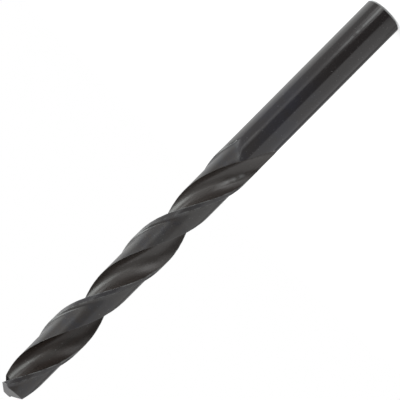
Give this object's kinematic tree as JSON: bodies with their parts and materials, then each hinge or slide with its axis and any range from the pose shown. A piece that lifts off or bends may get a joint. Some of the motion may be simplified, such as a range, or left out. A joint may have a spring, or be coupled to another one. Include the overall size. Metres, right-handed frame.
{
  "type": "twist drill bit",
  "caption": "Jobber twist drill with a plain round shank, right-hand helical flutes, raised margins and a conically ground point.",
  "frame": {"origin": "centre of the flat end of the shank, which the drill stands on", "axes": "+Z along the drill's axis from the shank to the point; at the height of the chisel edge the leading edge of one land lies on +X"},
  "size_m": [0.0104, 0.0104, 0.133],
  "materials": {
    "black_oxide_steel": "ground high-speed steel with a semi-gloss black oxide skin"
  },
  "bodies": {
    "root": {"twist_drill": "black_oxide_steel"}
  },
  "joints": []
}
